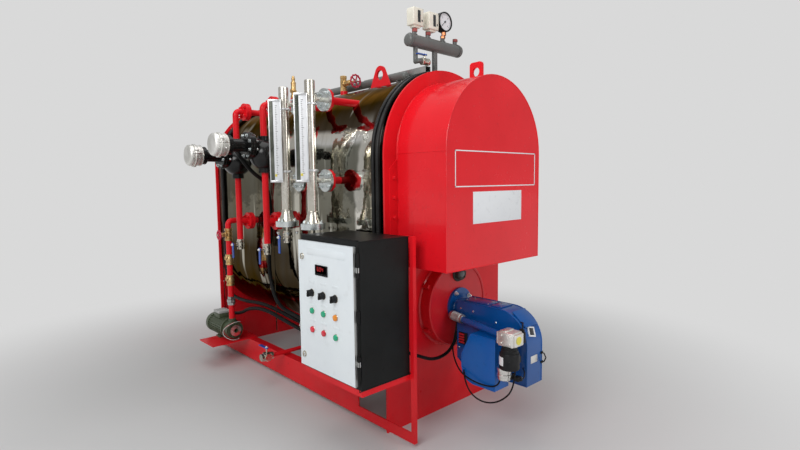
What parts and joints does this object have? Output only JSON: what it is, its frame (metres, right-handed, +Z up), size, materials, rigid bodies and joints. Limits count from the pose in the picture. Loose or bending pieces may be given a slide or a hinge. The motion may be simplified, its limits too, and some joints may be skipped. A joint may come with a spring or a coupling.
{
  "type": "industrial steam boiler",
  "caption": "Skid-mounted steam boiler with a mirror-clad drum, red end plates and smokebox, gas burner, level columns, float switches, feed pump and control cabinet.",
  "frame": {"origin": "on the floor, on the centre line, in the plane of the front plate's face", "axes": "+Z up, +Y from the burner end towards the rear, +X to the right of someone who faces the burner end"},
  "size_m": [1.452, 2.8188, 2.336],
  "materials": {
    "red_enamel": "gloss enamel",
    "polished_cladding": "mirror-polished stainless sheet",
    "burner_blue": "gloss",
    "air_box_blue": "gloss",
    "cast_aluminium": "cast, satin",
    "turned_aluminium": "turned",
    "black_plastic": "satin",
    "cabinet_black": "powder coat",
    "door_white": "powder coat",
    "lamp_lens": "moulded lens",
    "stainless_tube": "polished tube",
    "zinc_plate": "bright zinc",
    "gauge_channel": "anodised",
    "nickel_brass": "nickel plate",
    "black_casting": "black paint",
    "brass": "cast and machined",
    "pump_green": "green enamel on cast iron",
    "grey_enamel": "satin",
    "ivory_case": "satin",
    "gauge_black": "gloss",
    "galvanised": "galvanised",
    "wheel_red": "paint",
    "lever_blue": "dipped sleeve on a steel strip",
    "black_conduit": "PVC sheath"
  },
  "bodies": {
    "boiler": {"actuator_cable": "black_conduit", "arch_conduits": "black_conduit", "ball_valves": "nickel_brass", "burner_air_box": "air_box_blue", "burner_cable": "black_conduit", "burner_housing": "burner_blue", "cabinet": "cabinet_black", "cabinet_stand": "red_enamel", "cable_trough": "galvanised", "check_valves": "brass", "column_flanges": "zinc_plate", "drain_pipe": "red_enamel", "feed_pipe": "red_enamel", "filter_cable": "black_conduit", "float_cable": "black_conduit", "float_chambers": "black_casting", "float_heads": "cast_aluminium", "float_pipes": "red_enamel", "flue_outlet": "red_enamel", "front_plate": "red_enamel", "furnace_door": "red_enamel", "gas_actuator": "black_plastic", "gas_filter": "turned_aluminium", "gas_pipe": "burner_blue", "gas_valve": "cast_aluminium", "gate_valve": "brass", "header": "grey_enamel", "jacket": "polished_cladding", "level_columns": "stainless_tube", "level_gauges": "gauge_channel", "lifting_lugs": "red_enamel", "nozzles": "red_enamel", "pipe_unions": "galvanised", "pressure_gauge": "gauge_black", "pressure_switches": "ivory_case", "pump_cable": "black_conduit", "pump_motor": "pump_green", "pump_volute": "pump_green", "rear_cable": "black_conduit", "rear_plate": "red_enamel", "safety_valve": "brass", "side_rails": "red_enamel", "smokebox": "red_enamel", "smokebox_flanges": "red_enamel", "steam_pipe": "grey_enamel", "vent_valve": "brass"},
    "door": {"cabinet_door": "door_white", "door_lamps": "lamp_lens"},
    "selector_near": {"selector_near": "black_plastic"},
    "selector_middle": {"selector_middle": "black_plastic"},
    "selector_far": {"selector_far": "black_plastic"},
    "column_lever_front": {"column_drain_lever_front": "lever_blue"},
    "column_lever_rear": {"column_drain_lever_rear": "lever_blue"},
    "float_lever_front": {"float_drain_lever_front": "lever_blue"},
    "float_lever_rear": {"float_drain_lever_rear": "lever_blue"},
    "skid_lever": {"skid_drain_lever": "lever_blue"},
    "header_lever": {"header_drain_lever": "lever_blue"},
    "gate_wheel": {"gate_wheel": "wheel_red"},
    "vent_wheel": {"vent_wheel": "wheel_red"}
  },
  "joints": [
    {"name": "door_hinge", "type": "hinge", "parent": "boiler", "child": "door", "pos_m": [-0.813, -0.174, 0.731], "axis": [0, 0, 1], "range_deg": [0, 120]},
    {"name": "selector_near_turn", "type": "hinge", "parent": "door", "child": "selector_near", "pos_m": [-0.8255, -0.015, 0.795], "axis": [1, 0, 0], "range_deg": [-45, 45]},
    {"name": "selector_middle_turn", "type": "hinge", "parent": "door", "child": "selector_middle", "pos_m": [-0.8255, 0.085, 0.795], "axis": [1, 0, 0], "range_deg": [-45, 45]},
    {"name": "selector_far_turn", "type": "hinge", "parent": "door", "child": "selector_far", "pos_m": [-0.8255, 0.185, 0.795], "axis": [1, 0, 0], "range_deg": [-45, 45]},
    {"name": "column_lever_front_turn", "type": "hinge", "parent": "boiler", "child": "column_lever_front", "pos_m": [-0.7155, 0.412, 1.03], "axis": [1, 0, 0], "range_deg": [0, 90]},
    {"name": "column_lever_rear_turn", "type": "hinge", "parent": "boiler", "child": "column_lever_rear", "pos_m": [-0.7155, 0.688, 1.03], "axis": [1, 0, 0], "range_deg": [0, 90]},
    {"name": "float_lever_front_turn", "type": "hinge", "parent": "boiler", "child": "float_lever_front", "pos_m": [-0.6605, 1.042, 0.918], "axis": [1, 0, 0], "range_deg": [0, 90]},
    {"name": "float_lever_rear_turn", "type": "hinge", "parent": "boiler", "child": "float_lever_rear", "pos_m": [-0.6605, 1.435, 0.918], "axis": [1, 0, 0], "range_deg": [0, 90]},
    {"name": "skid_lever_turn", "type": "hinge", "parent": "boiler", "child": "skid_lever", "pos_m": [-0.634, 1.05, 0.2525], "axis": [0, 0, 1], "range_deg": [0, 90]},
    {"name": "header_lever_turn", "type": "hinge", "parent": "boiler", "child": "header_lever", "pos_m": [-0.112, 0.07, 2.0555], "axis": [0, 0, 1], "range_deg": [0, 90]},
    {"name": "gate_wheel_turn", "type": "hinge", "parent": "boiler", "child": "gate_wheel", "pos_m": [-0.672, 1.64, 0.972], "axis": [1, 0, 0], "range_deg": [0, 1080]},
    {"name": "vent_wheel_turn", "type": "hinge", "parent": "boiler", "child": "vent_wheel", "pos_m": [0, 0.846, 2.043], "axis": [0, 1, 0], "range_deg": [0, 1080]}
  ]
}
